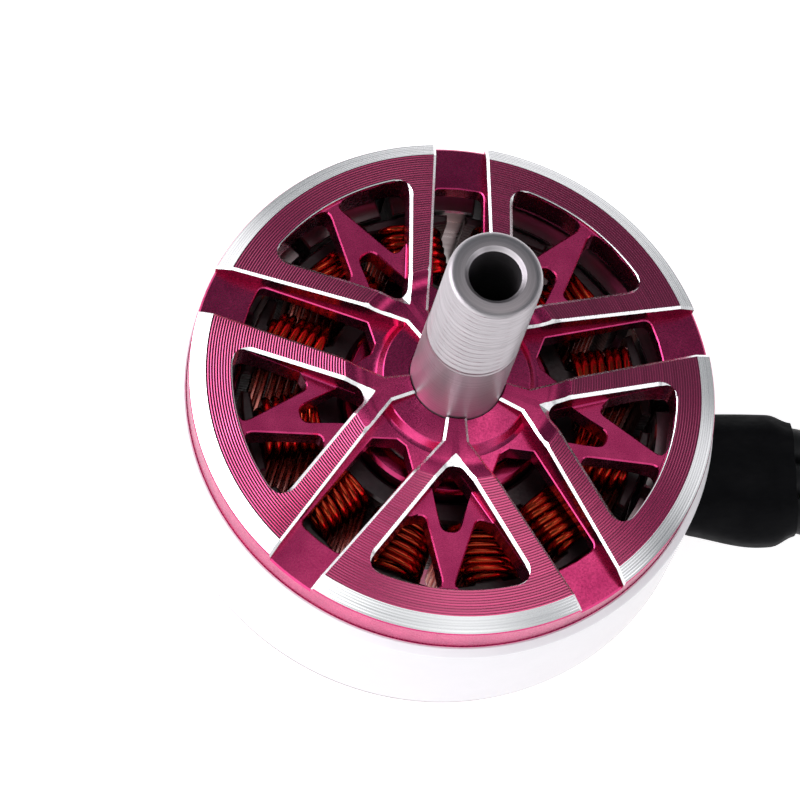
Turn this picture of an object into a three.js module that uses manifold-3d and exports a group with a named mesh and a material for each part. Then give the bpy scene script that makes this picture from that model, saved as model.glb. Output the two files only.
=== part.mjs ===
// Brushless outrunner motor: 12 stator coils, 14 magnets, hollow threaded prop shaft, three phase leads.
// Millimetres, +Z up along the shaft. Origin: centre of the mounting face. The leads leave along +X.
// Everything that turns with the shaft is in the group "rotor"; the rest stands on the mounting base.
import * as THREE from "three";
import { mergeVertices } from "three/addons/utils/BufferGeometryUtils.js";
import Module from "manifold-3d";

const wasm = await Module();
wasm.setup();

// ---- driving dimensions ---------------------------------------------------------------------------
const FIT = 0.05; // radial gap of a press fit

const PETALS = 5; // petals of the bell, with a channel between each two
const CHANNEL_ANGLE = 14.3; // first channel from +X, degrees
const RIM_TOP = 16.0; // top edge of the rim
const RIM_R = 14.0; // outside of the bell cap
const CONE_R = 13.18; // where the conical top meets the outer chamfer
const CHAMFER_DROP = 0.55; // height of the outer chamfer
const SEAT_R = 5.85; // inner edge of the grooved conical top
const CONE_RISE = 1.27; // rise of the cone from the rim to SEAT_R
const HUB_TOP = RIM_TOP + 1.1; // flat hub round the shaft, where a propeller is clamped
const WEB_TOP = RIM_TOP; // top of the Y-shaped webs inside the windows
const PLATE_UNDER = 14.75; // underside of the bell's top plate
const CAP_BOTTOM = 13.44; // where the cap meets the flux ring
const CAP_WALL_R = 12.3; // inside of the cap's rim
const SPIGOT_DROP = 0.5; // the spigot that centres the cap in the flux ring
const HUB_BOSS_R = 4.2; // boss under the hub that rests on the shim washer
const HUB_BOSS_DROP = 0.35;
const SHOULDER_DROP = 0.3; // the shaft's shoulder lies this far below the rim's top
const JOURNAL_GAP = 0.12;

const CHANNEL_HALF_RIM = 1.42; // half width of a channel at the rim
const CHANNEL_HALF_HUB = 1.75; // and next to the hub
const CHANNEL_BEND_R = 3.45; // where the ribs begin to taper
const RIB_HALF_AT_SHAFT = 0.85; // half width of the channel at the shaft
const CHANNEL_FLOOR_RIM = RIM_TOP - 1.0;
const CHANNEL_FLOOR_HUB = RIM_TOP + 0.15;
const HUB_STEP_R = 4.0; // arc-shaped step between hub and channel floor
const HUB_SLOPE_TOP = RIM_TOP + 0.75;
const HUB_SLOPE_LOW = RIM_TOP + 0.55;

const WINDOW_SIDE = 2.55; // from a channel's centre line to the window
const WINDOW_R = 11.8; // outer arc of the window
const WINDOW_CORNER = 0.75;
const WINDOW_APEX = 0.65;

const WEB_LEDGE = 0.06; // a web stands this far inside the window's wall
const TEARDROP_TIP = 8.3; // the opening between a web's legs, along the petal
const TEARDROP_WIDE = [6.05, 1.2];
const LEG_MEETS_SPOKE = 7.3;
const STEM_HALF = 0.55; // half width of the web's stem at the rim

const SLOT_OUTER = 11.5; // slot through a channel's floor
const SLOT_HALF = 1.3;
const SLOT_SHOULDER = 5.35; // where it begins to narrow towards the hub
const SLOT_TIP = [4.3, 0.4];

const RING_R = 14.4; // outside of the flux ring
const RING_IN = 12.95;
const RING_BOTTOM = 5.9;
const RING_TOP_BEVEL = 0.45;
const RING_LOW_BEVEL = 0.35;
const MAGNETS = 14;
const MAGNET_IN = 11.3;
const MAGNET_OUT = 12.65;
const MAGNET_SPAN = 22.4; // degrees
const MAGNET_LOW = 6.0;
const MAGNET_TOP = 12.75;

const SHAFT_R = 2.5; // M5 above the hub
const JOURNAL_R = 2.0; // in the bearings
const SHAFT_BORE = 1.37;
const SHAFT_TOP = 29.78;
const SHAFT_LOW = 1.9;
const THREAD_START = 22.5;
const THREAD_PITCH = 0.8;
const THREAD_DEPTH = 0.22;
const SHAFT_TOP_BEVEL = 0.4;
const BORE_BEVEL = 0.32;
const WASHER_R = 2.75;
const SCREW_HEAD_R = 2.7;
const SCREW_LOW = 0.45;
const SCREW_HEAD_TOP = 1.45;
const SCREW_SOCKET_R = 0.95;
const SCREW_SOCKET_TOP = 1.2;
const SCREW_THREAD = 4; // engaged length

const TEETH = 12;
const STATOR_ANGLE = 10.2; // first tooth from +X, degrees
const STACK_LOW = 6.1;
const STACK_TOP = 13.1;
const STATOR_R = 11.0;
const TOOTH_HALF = 0.8;
const SHOE_HALF_ANGLE = 12.4; // a tooth's pole shoe, degrees
const YOKE_R = 6.85;
const COIL_LOW = 4.8;
const COIL_TOP = 14.3;
const COIL_IN = 7.0;
const COIL_OUT = 10.25;
const COIL_GAP = 0.17; // from a coil to the middle of its slot
const COIL_SHOULDER = 0.55; // bevel along a coil's top and bottom

const TUBE_R = 5.6; // bearing tube
const TUBE_TOP = 14.1;
const BEARING_R = 4.5; // 4 x 9 x 4 mm bearing
const BEARING_W = 4.0;
const INNER_RACE_R = 2.55;
const OUTER_RACE_IN = 3.95; // also the tube's bore between the bearings
const LOWER_BEARING = 2.0;
const UPPER_BEARING = 10.0;
const BALLS = 7;
const BALL_R = 0.65;
const BALL_PITCH_R = 3.25;

const BOSS_R = 6.3; // foot of the bearing tube
const POCKET_R = 3.4; // room for the retaining screw
const ARM_TOP = 2.4;
const ARM_HALF = [2.2, 2.9, 2.1]; // half width at the boss, at the bolt and at the rim
const BOLT_R = 8.0; // four M3 holes on a 16 mm circle
const BOLT_HOLE_R = 1.5;
const DISH_IN = 10.3; // foot of the dish-shaped rim
const DISH_FOOT = 11.2;
const DISH_R = 13.5;
const DISH_WALL = 1.0;
const DISH_TOP = 5.3;
const LEAD_WINDOW = [3.3, 2.35, 4.5]; // half width, bottom and top

const WIRE_R = 1.0; // outside of the lead's silicone
const WIRE_SOLID_R = 0.85; // the solids keep clear of each other
const WIRE_PITCH = 2.05;
const WIRE_LENGTH = 130;
const WIRE_START = 9.6;
const WIRE_Z = 3.4;
const SLEEVE_START = 14.2;
const SLEEVE_END = 19.9;
const SLEEVE_HALF = [3.45, 1.4];
const SLEEVE_WALL = 0.37;
const BEND_START = 25; // where the leads turn towards their coil
const BEND_R = 8;
const COIL_R = 12; // middle of the three leads in the coil
const RAMP_START = 250; // degrees of winding after which the leads climb to the second layer
const LAYER = 2.1; // height of one layer
const TIP_R = 0.5; // tinned end
const TIP_LENGTH = 3;

// ---- helpers --------------------------------------------------------------------------------------
const rad = THREE.MathUtils.degToRad;

function toSolid(geometry) {
  const bare = geometry.index ? geometry.clone() : geometry;
  bare.deleteAttribute("normal");
  bare.deleteAttribute("uv");
  const merged = mergeVertices(bare, 1e-4);
  const build = (triVerts) =>
    new wasm.Manifold(
      new wasm.Mesh({ numProp: 3, vertProperties: merged.attributes.position.array, triVerts }),
    );
  const triVerts = Uint32Array.from(merged.index.array);
  const solid = build(triVerts);
  if (solid.volume() > 0) return solid;
  for (let i = 0; i < triVerts.length; i += 3) {
    [triVerts[i + 1], triVerts[i + 2]] = [triVerts[i + 2], triVerts[i + 1]];
  }
  return build(triVerts);
}

function toGeometry(solid) {
  const { vertProperties, triVerts } = solid.getMesh();
  const geometry = new THREE.BufferGeometry();
  geometry.setAttribute("position", new THREE.BufferAttribute(vertProperties, 3));
  geometry.setIndex(new THREE.BufferAttribute(triVerts, 1));
  geometry.computeVertexNormals();
  return geometry;
}

// Turns a profile of [radius, height] points round the Z axis.
function lathe(profile, segments) {
  const closed = profile[0][0] > 0 ? [...profile, profile[0]] : profile;
  const points = closed.map(([r, z]) => new THREE.Vector2(r, z));
  const geometry = new THREE.LatheGeometry(points, segments);
  geometry.rotateX(Math.PI / 2);
  return toSolid(geometry);
}

function ring(inner, outer, low, high, segments) {
  return lathe([[inner, low], [outer, low], [outer, high], [inner, high]], segments);
}

function disc(radius, low, high, segments) {
  return lathe([[0, low], [radius, low], [radius, high], [0, high]], segments);
}

// Extrudes an outline from low to high. Where two arcs of it meet, the shared point is kept once.
function prism(outline, low, high, curveSegments = 4) {
  const points = outline instanceof THREE.Shape ? outline.getPoints(curveSegments) : outline;
  const apart = points.filter((point, i) => point.distanceTo(points.at(i - 1)) > 1e-3);
  const options = { depth: high - low, bevelEnabled: false };
  const geometry = new THREE.ExtrudeGeometry(new THREE.Shape(apart), options);
  geometry.translate(0, 0, low);
  return toSolid(geometry);
}

function box(low, high) {
  const size = high.map((value, i) => value - low[i]);
  const geometry = new THREE.BoxGeometry(...size);
  geometry.translate(...low.map((value, i) => value + size[i] / 2));
  return toSolid(geometry);
}

// An outline through corners [x, y, radius], each corner rounded to its radius.
function rounded(corners) {
  const at = (i) => new THREE.Vector2(...corners[(i + corners.length) % corners.length]);
  const shape = new THREE.Shape();
  corners.forEach(([x, y, radius = 0], i) => {
    const corner = new THREE.Vector2(x, y);
    const before = at(i - 1).sub(corner).normalize();
    const after = at(i + 1).sub(corner).normalize();
    const reach = radius / Math.tan(Math.acos(before.dot(after)) / 2);
    const enter = corner.clone().addScaledVector(before, reach);
    const leave = corner.clone().addScaledVector(after, reach);
    if (i === 0) shape.moveTo(enter.x, enter.y);
    else shape.lineTo(enter.x, enter.y);
    if (radius > 0) shape.quadraticCurveTo(x, y, leave.x, leave.y);
  });
  shape.closePath();
  return shape;
}

function turned(solid, degrees) {
  return solid.rotate([0, 0, degrees]);
}

function around(solid, count, start = 0) {
  const copies = [...Array(count)].map((_, i) => turned(solid, start + (360 / count) * i));
  return copies.reduce((whole, copy) => whole.add(copy));
}

const root = new THREE.Group();
const rotor = new THREE.Group();
rotor.rotation.z = rad(CHANNEL_ANGLE);
root.add(rotor);

const FINISH = {
  anodised: { color: 0xb5205c, roughness: 0.35, metalness: 0.9 },
  white: { color: 0xf2f2f2, roughness: 0.3, metalness: 0.0 },
  magnet: { color: 0x6f7276, roughness: 0.4, metalness: 0.8 },
  aluminium: { color: 0xb9bcc2, roughness: 0.3, metalness: 0.95 },
  steel: { color: 0x9a9da3, roughness: 0.3, metalness: 0.95 },
  stator: { color: 0x23301f, roughness: 0.5, metalness: 0.2 },
  copper: { color: 0xb4421c, roughness: 0.3, metalness: 0.9 },
  base: { color: 0xa02058, roughness: 0.45, metalness: 0.8 },
  silicone: { color: 0x151516, roughness: 0.6, metalness: 0.0 },
  sleeve: { color: 0x101011, roughness: 0.7, metalness: 0.0 },
  tin: { color: 0xc4c6c8, roughness: 0.35, metalness: 0.9 },
  cage: { color: 0x8c7a4a, roughness: 0.5, metalness: 0.6 },
};

function add(name, solid, finish, parent = root) {
  const geometry = solid.isBufferGeometry ? solid : toGeometry(solid);
  const mesh = new THREE.Mesh(geometry, new THREE.MeshStandardMaterial(FINISH[finish]));
  mesh.name = name;
  parent.add(mesh);
  return mesh;
}

const numbered = (name, i) => `${name}_${String(i + 1).padStart(2, "0")}`;

// ---- bell cap -------------------------------------------------------------------------------------
const HALF_PETAL = rad(180 / PETALS);

// A point given along and across a channel's centre line, in the petal's frame (X along the petal).
function fromChannel(along, across, side = 1) {
  const x = along * Math.cos(HALF_PETAL) + across * Math.sin(HALF_PETAL);
  const y = along * Math.sin(HALF_PETAL) - across * Math.cos(HALF_PETAL);
  return [x, side * y];
}

// The D-shaped window of a petal: two straight sides along the spokes, a round apex, an outer arc.
function windowOutline() {
  const shape = new THREE.Shape();
  const normal = HALF_PETAL + Math.PI / 2;
  const apexX = (WINDOW_SIDE + WINDOW_APEX) / Math.sin(HALF_PETAL);
  const reach = WINDOW_R - WINDOW_CORNER;
  const across = WINDOW_SIDE + WINDOW_CORNER;
  const along = Math.sqrt(reach ** 2 - across ** 2);
  const [x, y] = fromChannel(along, across);
  const angle = Math.atan2(y, x);
  shape.absarc(apexX, 0, WINDOW_APEX, normal, 2 * Math.PI - normal, false);
  shape.absarc(x, -y, WINDOW_CORNER, -normal, -angle, false);
  shape.absarc(0, 0, WINDOW_R, -angle, angle, false);
  shape.absarc(x, y, WINDOW_CORNER, angle, normal, false);
  shape.closePath();
  return shape;
}

// The openings that leave a Y-shaped web: a teardrop towards the hub and a triangle on either side.
function webHoles() {
  const across = WINDOW_SIDE + WEB_LEDGE;
  const side = (x) => Math.tan(HALF_PETAL) * x - across / Math.cos(HALF_PETAL);
  const apex = across / Math.sin(HALF_PETAL);
  const teardrop = rounded([
    [apex, 0, 0.5],
    [TEARDROP_WIDE[0], -TEARDROP_WIDE[1], 0.3],
    [TEARDROP_TIP, 0, 0.25],
    [TEARDROP_WIDE[0], TEARDROP_WIDE[1], 0.3],
  ]);
  const arcR = WINDOW_R - WEB_LEDGE;
  const [cx, cy] = fromChannel(Math.sqrt(arcR ** 2 - across ** 2), across);
  const end = Math.atan2(cy, cx);
  const start = Math.asin(STEM_HALF / arcR);
  const steps = 3;
  const arc = [...Array(steps + 1)].map((_, i) => {
    const angle = start + ((end - start) * i) / steps;
    const radius = i === 0 ? 0.4 : i === steps ? 0.6 : 0;
    return [arcR * Math.cos(angle), arcR * Math.sin(angle), radius];
  });
  const upper = [[LEG_MEETS_SPOKE, side(LEG_MEETS_SPOKE), 0.35], ...arc];
  const lower = upper.map(([x, y, radius]) => [x, -y, radius]).reverse();
  return [teardrop, rounded(upper), rounded(lower)];
}

// Everything above a channel's floor, which falls from the hub to the rim.
function channelCut() {
  const far = RIM_R + 2;
  const above = RIM_TOP + 3;
  const slope = (CHANNEL_HALF_HUB - CHANNEL_HALF_RIM) / (CONE_R - CHANNEL_BEND_R);
  const farHalf = CHANNEL_HALF_RIM - slope * (far - CONE_R);
  const half = [[SHAFT_R - 0.6, RIB_HALF_AT_SHAFT], [CHANNEL_BEND_R, CHANNEL_HALF_HUB], [far, farHalf]];
  const mirror = half.map(([x, y]) => [x, -y]).reverse();
  const plan = [...mirror, ...half].map(([x, y]) => new THREE.Vector2(x, y));
  const floor = [
    [0, HUB_SLOPE_TOP],
    [SHAFT_R, HUB_SLOPE_TOP],
    [HUB_STEP_R, HUB_SLOPE_LOW],
    [HUB_STEP_R + 0.15, CHANNEL_FLOOR_HUB],
    [RIM_R, CHANNEL_FLOOR_RIM],
    [far, CHANNEL_FLOOR_RIM - 0.24],
    [far, above],
    [0, above],
  ];
  return prism(plan, RIM_TOP - 2, above - 0.5).intersect(lathe(floor, 4 * PETALS));
}

// The slot through a channel's floor, pointed towards the hub.
function channelSlot() {
  const side = Math.sqrt(SLOT_OUTER ** 2 - SLOT_HALF ** 2);
  const [tip, tipHalf] = SLOT_TIP;
  return rounded([
    [tip, -tipHalf, 0.1],
    [SLOT_SHOULDER, -SLOT_HALF, 0.1],
    [side, -SLOT_HALF, 0.35],
    [SLOT_OUTER, 0],
    [side, SLOT_HALF, 0.35],
    [SLOT_SHOULDER, SLOT_HALF, 0.1],
    [tip, tipHalf, 0.1],
  ]);
}

function bellCap() {
  const boss = PLATE_UNDER - HUB_BOSS_DROP;
  const spigot = CAP_BOTTOM - SPIGOT_DROP;
  const profile = [
    [JOURNAL_R + JOURNAL_GAP, boss],
    [HUB_BOSS_R, boss],
    [HUB_BOSS_R + 0.4, PLATE_UNDER],
    [CAP_WALL_R - 2.4, PLATE_UNDER],
    [CAP_WALL_R - 0.6, PLATE_UNDER - 0.5],
    [CAP_WALL_R, PLATE_UNDER - 0.75],
    [CAP_WALL_R, spigot],
    [RING_IN - FIT, spigot],
    [RING_IN - FIT, CAP_BOTTOM],
    [RIM_R - 0.08, CAP_BOTTOM],
    [RIM_R, CAP_BOTTOM + 0.4],
    [RIM_R, RIM_TOP - CHAMFER_DROP],
    [CONE_R, RIM_TOP],
    [SEAT_R, RIM_TOP + CONE_RISE],
    [SEAT_R - 0.4, HUB_TOP],
    [SHAFT_R + FIT, HUB_TOP],
    [SHAFT_R + FIT, RIM_TOP - SHOULDER_DROP],
    [JOURNAL_R + JOURNAL_GAP, RIM_TOP - SHOULDER_DROP],
  ];
  let cap = lathe(profile, 9 * PETALS);
  const petal = 180 / PETALS;
  const slot = prism(channelSlot(), RIM_TOP - 3, RIM_TOP + 2, 2);
  cap = cap.subtract(around(channelCut().add(slot), PETALS));
  cap = cap.subtract(around(prism(windowOutline(), WEB_TOP, RIM_TOP + 3, 4), PETALS, petal));
  for (const hole of webHoles()) {
    cap = cap.subtract(around(prism(hole, RIM_TOP - 3, RIM_TOP + 2, 2), PETALS, petal));
  }
  return cap;
}
add("bell_cap", bellCap(), "anodised", rotor);

// ---- flux ring and magnets ------------------------------------------------------------------------
const fluxRing = lathe(
  [
    [RING_IN, RING_BOTTOM],
    [RING_R - RING_LOW_BEVEL, RING_BOTTOM],
    [RING_R, RING_BOTTOM + RING_LOW_BEVEL],
    [RING_R, CAP_BOTTOM - RING_TOP_BEVEL],
    [RIM_R + 0.03, CAP_BOTTOM],
    [RING_IN, CAP_BOTTOM],
  ],
  12 * PETALS,
);
add("flux_ring", fluxRing, "white", rotor);

function magnet() {
  const steps = 4;
  const half = rad(MAGNET_SPAN / 2);
  const arc = (radius, from, to) =>
    [...Array(steps + 1)].map((_, i) => {
      const angle = from + ((to - from) * i) / steps;
      return new THREE.Vector2(radius * Math.cos(angle), radius * Math.sin(angle));
    });
  const outline = [...arc(MAGNET_OUT, -half, half), ...arc(MAGNET_IN, half, -half)];
  return prism(outline, MAGNET_LOW, MAGNET_TOP);
}
for (let i = 0; i < MAGNETS; i += 1) {
  add(numbered("magnet", i), turned(magnet(), (360 / MAGNETS) * i), "magnet", rotor);
}

// ---- shaft and what is on it ----------------------------------------------------------------------
function shaft() {
  const step = RIM_TOP - SHOULDER_DROP + FIT;
  const profile = [
    [SHAFT_BORE, SHAFT_LOW],
    [JOURNAL_R - 0.15, SHAFT_LOW],
    [JOURNAL_R, SHAFT_LOW + 0.15],
    [JOURNAL_R, step],
    [SHAFT_R, step],
    [SHAFT_R, THREAD_START],
  ];
  const turns = Math.floor((SHAFT_TOP - 0.5 - THREAD_START) / THREAD_PITCH);
  for (let i = 0; i < turns; i += 1) {
    const z = THREAD_START + THREAD_PITCH * i;
    profile.push([SHAFT_R - THREAD_DEPTH, z + THREAD_PITCH / 2]);
    profile.push([SHAFT_R, z + THREAD_PITCH]);
  }
  profile.push([SHAFT_R - SHAFT_TOP_BEVEL, SHAFT_TOP]);
  profile.push([SHAFT_BORE + BORE_BEVEL, SHAFT_TOP]);
  profile.push([SHAFT_BORE, SHAFT_TOP - BORE_BEVEL]);
  return lathe(profile, 24);
}
add("shaft", shaft(), "aluminium", rotor);

// A washer between two faces, a hair clear of both.
function washer(inner, low, high) {
  const clear = 0.02;
  return ring(inner, WASHER_R, low + clear, high - clear, 20);
}
const bossFace = PLATE_UNDER - HUB_BOSS_DROP;
add("shim_washer", washer(JOURNAL_R + FIT, UPPER_BEARING + BEARING_W, bossFace), "steel", rotor);

function retainingScrew() {
  const thread = SHAFT_BORE - FIT;
  const body = lathe(
    [
      [0, SCREW_LOW],
      [SCREW_HEAD_R - 0.3, SCREW_LOW],
      [SCREW_HEAD_R, SCREW_LOW + 0.3],
      [SCREW_HEAD_R, SCREW_HEAD_TOP],
      [thread, SCREW_HEAD_TOP],
      [thread, SHAFT_LOW + SCREW_THREAD],
      [0, SHAFT_LOW + SCREW_THREAD],
    ],
    20,
  );
  const hexagon = [...Array(6)].map((_, i) => {
    return new THREE.Vector2(SCREW_SOCKET_R, 0).rotateAround(new THREE.Vector2(), rad(60 * i));
  });
  return body.subtract(prism(hexagon, 0, SCREW_SOCKET_TOP));
}
add("retaining_screw", retainingScrew(), "steel", rotor);
add("retaining_washer", washer(SHAFT_BORE, SCREW_HEAD_TOP, SHAFT_LOW), "steel", rotor);

// ---- bearings -------------------------------------------------------------------------------------
function ballCage(low) {
  const middle = low + BEARING_W / 2;
  const hoop = ring(BALL_PITCH_R - 0.2, BALL_PITCH_R + 0.2, middle - 0.55, middle + 0.55, 2 * BALLS);
  const ball = new THREE.OctahedronGeometry(BALL_R, 1);
  ball.translate(BALL_PITCH_R, 0, middle);
  return hoop.add(around(toSolid(ball), BALLS));
}
for (const [place, low] of [["lower", LOWER_BEARING], ["upper", UPPER_BEARING]]) {
  const inner = ring(JOURNAL_R + FIT, INNER_RACE_R, low, low + BEARING_W, 24);
  const outer = ring(OUTER_RACE_IN, BEARING_R, low, low + BEARING_W, 24);
  add(`bearing_${place}_inner_race`, inner, "steel", rotor);
  add(`bearing_${place}_outer_race`, outer, "steel");
  add(`bearing_${place}_ball_cage`, ballCage(low), "cage");
}

// ---- stator ---------------------------------------------------------------------------------------
function statorCore() {
  const shoe = rad(SHOE_HALF_ANGLE);
  const toothRoot = Math.asin(TOOTH_HALF / YOKE_R);
  const polar = (radius, angle) => [radius * Math.cos(angle), radius * Math.sin(angle)];
  const outline = [];
  for (let i = 0; i < TEETH; i += 1) {
    const turn = ([x, y]) =>
      new THREE.Vector2(x, y).rotateAround(new THREE.Vector2(), rad((360 / TEETH) * i));
    const half = [
      polar(YOKE_R, toothRoot),
      [COIL_OUT + 0.1, TOOTH_HALF],
      polar(STATOR_R - 0.4, shoe),
      polar(STATOR_R, shoe),
      polar(STATOR_R, shoe / 2),
    ];
    const mirror = half.map(([x, y]) => [x, -y]);
    outline.push(...[...mirror, polar(STATOR_R, 0), ...half.reverse()].map(turn));
  }
  const bore = disc(TUBE_R + 0.08, STACK_LOW - 1, STACK_TOP + 1, 36);
  return turned(prism(outline, STACK_LOW, STACK_TOP).subtract(bore), STATOR_ANGLE);
}
add("stator_core", statorCore(), "stator");

// One coil: a block tapered towards the axis, with the tooth's slot through it.
function coil() {
  const section = (r) => {
    const half = r * Math.tan(rad(180 / TEETH)) - COIL_GAP;
    const corners = [];
    for (const [sy, sz] of [[1, -1], [1, 1], [-1, 1], [-1, -1]]) {
      const z = sz > 0 ? COIL_TOP : COIL_LOW;
      const first = [r, sy * half, z - sz * COIL_SHOULDER * 1.4];
      const second = [r, sy * (half - COIL_SHOULDER), z];
      corners.push(...(sy * sz < 0 ? [second, first] : [first, second]));
    }
    return corners;
  };
  const corners = [...section(COIL_IN), ...section(COIL_OUT)];
  const count = corners.length / 2;
  const index = [];
  for (let i = 0; i < count; i += 1) {
    const next = (i + 1) % count;
    index.push(i, count + i, count + next, i, count + next, next);
  }
  for (let i = 1; i < count - 1; i += 1) {
    index.push(0, i, i + 1, count, count + i + 1, count + i);
  }
  const block = new THREE.BufferGeometry();
  block.setAttribute("position", new THREE.Float32BufferAttribute(corners.flat(), 3));
  block.setIndex(index);
  const gap = 0.06;
  const low = [COIL_IN - 1, -TOOTH_HALF - gap, STACK_LOW - gap];
  const high = [COIL_OUT + 1, TOOTH_HALF + gap, STACK_TOP + gap];
  return toSolid(block).subtract(box(low, high));
}
for (let i = 0; i < TEETH; i += 1) {
  add(numbered("coil", i), turned(coil(), STATOR_ANGLE + (360 / TEETH) * i), "copper");
}

// ---- mounting base --------------------------------------------------------------------------------
function bearingTube() {
  const bore = BEARING_R + FIT;
  const foot = STACK_LOW - FIT;
  return lathe(
    [
      [POCKET_R, 0],
      [BOSS_R, 0],
      [BOSS_R, foot],
      [TUBE_R, foot],
      [TUBE_R, TUBE_TOP],
      [bore, TUBE_TOP],
      [bore, UPPER_BEARING - FIT],
      [OUTER_RACE_IN, UPPER_BEARING - FIT],
      [OUTER_RACE_IN, LOWER_BEARING + BEARING_W + FIT],
      [bore, LOWER_BEARING + BEARING_W + FIT],
      [bore, LOWER_BEARING - FIT],
      [POCKET_R, LOWER_BEARING - FIT],
    ],
    28,
  );
}

function dishRim() {
  return lathe(
    [
      [DISH_IN, 0],
      [DISH_FOOT, 0],
      [DISH_FOOT + 1.1, 2.0],
      [DISH_R, 4.4],
      [DISH_R, DISH_TOP],
      [DISH_R - DISH_WALL, DISH_TOP],
      [DISH_R - DISH_WALL, 4.5],
      [DISH_FOOT + 0.3, ARM_TOP],
      [DISH_IN, ARM_TOP],
    ],
    40,
  );
}

function mountBase() {
  const inner = TUBE_R;
  const outer = DISH_IN + 0.6;
  const arm = rounded([
    [inner, -ARM_HALF[0]],
    [BOLT_R, -ARM_HALF[1], 1.2],
    [outer, -ARM_HALF[2]],
    [outer, ARM_HALF[2]],
    [BOLT_R, ARM_HALF[1], 1.2],
    [inner, ARM_HALF[0]],
  ]);
  const hole = disc(BOLT_HOLE_R, -1, ARM_TOP + 1, 16).translate([BOLT_R, 0, 0]);
  const [half, low, high] = LEAD_WINDOW;
  const leadWindow = box([WIRE_START, -half, low], [RIM_R + 1, half, high]);
  const body = bearingTube().add(dishRim()).add(around(prism(arm, 0, ARM_TOP), 4, 45));
  return body.subtract(around(hole, 4, 45)).subtract(leadWindow);
}
add("mount_base", mountBase(), "base");

// ---- phase leads ----------------------------------------------------------------------------------
// The three leads run side by side, drop to the surface, turn aside and are wound into a flat coil.
const coilX = BEND_START + Math.sqrt((COIL_R + BEND_R) ** 2 - BEND_R ** 2);
const bendTurn = Math.acos(BEND_R / (COIL_R + BEND_R)); // the turn from +X to where the coil begins
const coilEntry = Math.PI + Math.PI / 2 - bendTurn; // angle of that point about the coil's centre

// The coil's angle at which lead k, offset sideways by k wire pitches, has used up its length.
function windingAngle(k) {
  const bend = (BEND_R + WIRE_PITCH * k) * bendTurn;
  const left = WIRE_LENGTH - (BEND_START - WIRE_START) - bend;
  return left / (COIL_R - WIRE_PITCH * k);
}

function smooth(t) {
  const x = Math.min(Math.max(t, 0), 1);
  return x * x * (3 - 2 * x);
}

// The lead's route up to its coil: straight out through the sleeve, down, and round the first bend.
function leadRoute(k) {
  const low = WIRE_R;
  const straight = [WIRE_START, 12, SLEEVE_START, 17, SLEEVE_END, 21, 22, 23, 24, BEND_START];
  const points = straight.map((x) => {
    const z = WIRE_Z + (low - WIRE_Z) * smooth((x - SLEEVE_END) / (BEND_START - SLEEVE_END));
    return new THREE.Vector3(x, WIRE_PITCH * k, z);
  });
  const keepOut = COIL_R + 2 * WIRE_PITCH + WIRE_SOLID_R;
  const steps = 24;
  for (let i = 1; i <= steps; i += 1) {
    const angle = (bendTurn * i) / steps;
    const radius = BEND_R + WIRE_PITCH * k;
    const point = new THREE.Vector3(
      BEND_START + radius * Math.sin(angle),
      -BEND_R + radius * Math.cos(angle),
      low,
    );
    if (Math.hypot(point.x - coilX, point.y) < keepOut) break;
    if (i % 3 === 0) points.push(point);
  }
  return points;
}

function tube(points, radius, steps) {
  const section = new THREE.Shape();
  section.absarc(0, 0, radius, 0, 2 * Math.PI, false);
  const geometry = new THREE.ExtrudeGeometry(section, {
    steps,
    extrudePath: new THREE.CatmullRomCurve3(points),
    curveSegments: 4,
  });
  return toSolid(geometry);
}
const LEADS = [["a", -1], ["b", 0], ["c", 1]];
for (const [letter, k] of LEADS) {
  add(`wire_${letter}`, tube(leadRoute(k), WIRE_SOLID_R, 14), "silicone");
}

// A flat heat-shrink sleeve round the three leads.
function sleeve() {
  const length = SLEEVE_END - SLEEVE_START;
  const outline = (inset, r) => {
    const [w, h] = SLEEVE_HALF.map((half) => half - inset);
    return rounded([[-w, -h, r], [w, -h, r], [w, h, r], [-w, h, r]]);
  };
  const outer = prism(outline(0, 1.15), 0, length, 3);
  const inner = prism(outline(SLEEVE_WALL, 0.7), -1, length + 1, 2);
  return outer.subtract(inner).rotate([90, 0, 90]).translate([SLEEVE_START, 0, WIRE_Z]);
}
add("wire_sleeve", sleeve(), "sleeve");

// The coil's outer shape: a full first layer, and on it each lead as far as that lead goes.
function leadCoil() {
  const half = 1.5 * WIRE_PITCH;
  const inset = 0.03;
  const from = coilEntry + rad(RAMP_START);
  const outline = new THREE.Shape();
  let start = from;
  for (const [, k] of LEADS) {
    const end = coilEntry + windingAngle(k);
    outline.absarc(0, 0, COIL_R - WIRE_PITCH * (k - 0.5) - inset, start, end, false);
    start = end;
  }
  outline.absarc(0, 0, COIL_R - half + inset, start, from, true);
  outline.closePath();
  const second = prism(outline, LAYER - 0.5, 2 * LAYER, 7);
  return ring(COIL_R - half, COIL_R + half, 0, LAYER, 24).add(second).translate([coilX, 0, 0]);
}
add("wire_coil", leadCoil(), "silicone");

for (const [letter, k] of LEADS) {
  const radius = COIL_R - WIRE_PITCH * k;
  const angle = coilEntry + windingAngle(k);
  const heading = THREE.MathUtils.radToDeg(angle) + 90;
  const tip = disc(TIP_R, 0.1, TIP_LENGTH, 10).rotate([0, 90, 0]).rotate([0, 0, heading]);
  const place = [coilX + radius * Math.cos(angle), radius * Math.sin(angle), WIRE_R + WIRE_PITCH];
  add(`wire_tip_${letter}`, tip.translate(place), "tin");
}

export default root;
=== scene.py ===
"""Looks of a small brushless outrunner motor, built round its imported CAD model.

Lengths in the building code are millimetres, and every mesh is scaled to metres when it becomes a piece.
The motor's axis is Z. The mounting face is at z = 0, and the phase leads leave along +X.
"""
import math

import bmesh
import bpy
from mathutils import Matrix, Quaternion, Vector


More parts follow.
